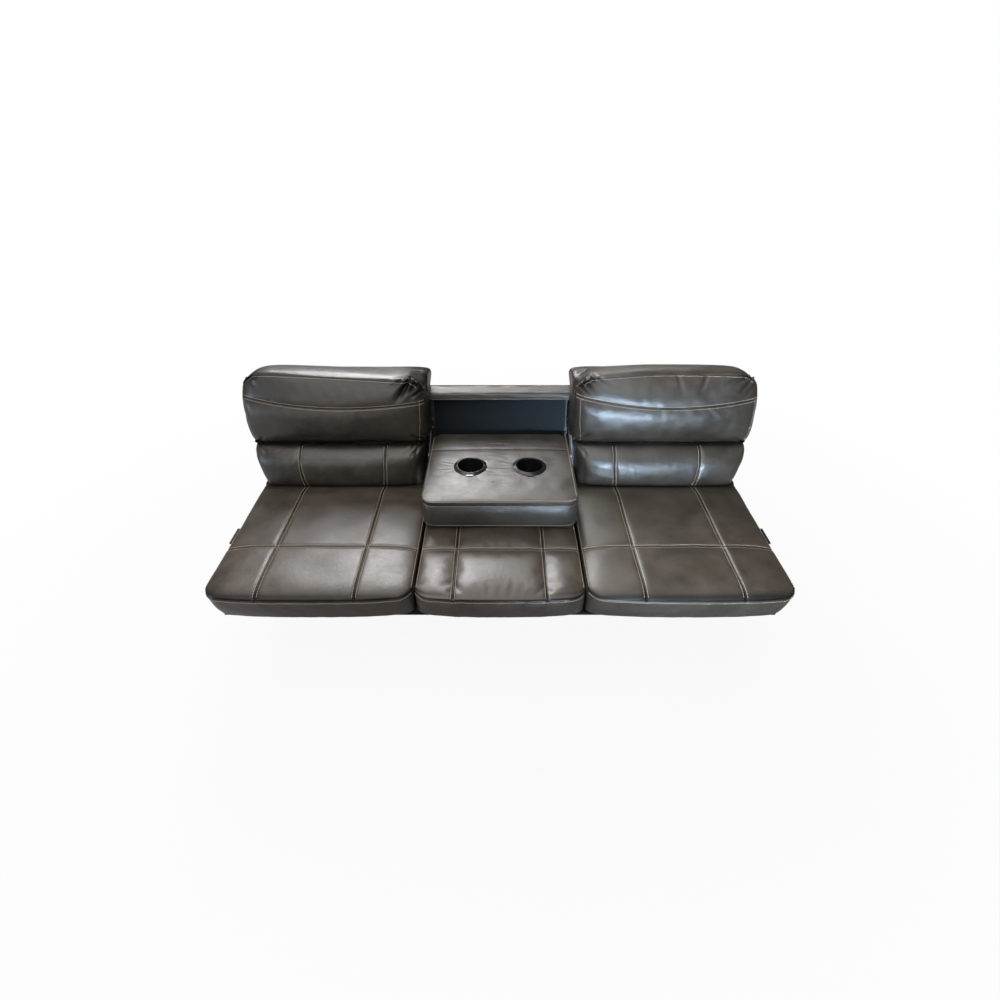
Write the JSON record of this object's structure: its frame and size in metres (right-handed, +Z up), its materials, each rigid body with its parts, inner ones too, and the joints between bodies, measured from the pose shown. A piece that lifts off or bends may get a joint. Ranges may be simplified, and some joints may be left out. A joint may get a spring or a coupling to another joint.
{
  "type": "sofa with drop down console",
  "caption": "Armless three-place leatherette sofa that folds flat; the middle back drops onto the seat as a console with cup holders.",
  "frame": {"origin": "centre of the four floor bolts, on the floor", "axes": "+Z up, -Y towards the sitter's feet, +X to the right as the picture shows it, along the sofa's width"},
  "size_m": [1.8218, 0.8569, 0.8439],
  "materials": {
    "leather": "satin",
    "back_cloth": "matte",
    "black_steel": "satin",
    "bare_steel": "satin",
    "wood": "matte",
    "foam": "matte",
    "black_cloth": "matte",
    "black_plastic": "gloss"
  },
  "bodies": {
    "base": {"base_bracket_left": "black_steel", "base_bracket_right": "black_steel", "base_tubes": "black_steel", "base_pins": "bare_steel"},
    "rear_cranks": {"rear_crank_left": "bare_steel", "rear_crank_right": "bare_steel", "rear_crank_tube": "black_steel"},
    "front_cranks": {"front_crank_left": "bare_steel", "front_crank_right": "bare_steel", "front_crank_tube": "black_steel"},
    "seat": {"seat_plate_left": "black_steel", "seat_plate_right": "black_steel", "seat_plate_pins": "bare_steel", "seat_rail_left": "black_steel", "seat_rail_right": "black_steel", "seat_rail_front": "black_steel", "seat_rail_rear": "black_steel", "seat_bearers": "black_steel", "seat_deck": "wood", "seat_dust_cover": "black_cloth", "seat_foam_left": "foam", "seat_foam_center": "foam", "seat_foam_right": "foam", "seat_cover_left": "leather", "seat_cover_center": "leather", "seat_cover_right": "leather"},
    "back": {"back_arm_left": "black_steel", "back_arm_right": "black_steel", "back_hinge_pins": "bare_steel", "back_post_outer_left": "wood", "back_post_outer_right": "wood", "back_post_inner_left": "wood", "back_post_inner_right": "wood", "back_head_rails": "wood", "back_bottom_rail": "wood", "back_boards": "wood", "back_foam_left": "foam", "back_foam_right": "foam", "back_lumbar_left": "leather", "back_lumbar_right": "leather", "back_pillow_left": "leather", "back_pillow_right": "leather", "back_panel_left": "back_cloth", "back_panel_right": "back_cloth", "back_panel_center": "back_cloth", "top_rail": "wood", "top_rail_cover": "leather", "back_liner": "black_cloth", "console_hanger_left": "bare_steel", "console_hanger_right": "bare_steel", "hanger_bolts": "bare_steel", "console_pins": "bare_steel"},
    "console": {"console_box": "wood", "console_lid": "wood", "console_floor": "wood", "console_band": "leather", "console_top_cover": "leather", "console_pad": "leather", "cup_holder_left": "black_plastic", "cup_holder_right": "black_plastic"}
  },
  "joints": [
    {"name": "sofa_fold", "type": "hinge", "parent": "base", "child": "rear_cranks", "pos_m": [0, -0.02, 0.075], "axis": [1, 0, 0], "range_deg": [0, 60]},
    {"name": "front_crank_swing", "type": "hinge", "parent": "base", "child": "front_cranks", "pos_m": [0, -0.21, 0.075], "axis": [1, 0, 0], "range_deg": [0, 60]},
    {"name": "seat_swing", "type": "hinge", "parent": "rear_cranks", "child": "seat", "pos_m": [0, 0.07988, 0.248], "axis": [1, 0, 0], "range_deg": [-60, 0]},
    {"name": "back_recline", "type": "hinge", "parent": "seat", "child": "back", "pos_m": [0, 0.115, 0.415], "axis": [-1, 0, 0], "range_deg": [0, 78]},
    {"name": "console_drop", "type": "hinge", "parent": "back", "child": "console", "pos_m": [0, 0.17528, 0.50989], "axis": [-1, 0, 0], "range_deg": [0, 102]}
  ],
  "couplings": [
    {"joint": "front_crank_swing", "follows": "sofa_fold", "ratio": 1},
    {"joint": "seat_swing", "follows": "sofa_fold", "ratio": -1},
    {"joint": "back_recline", "follows": "sofa_fold", "ratio": 1.3}
  ]
}
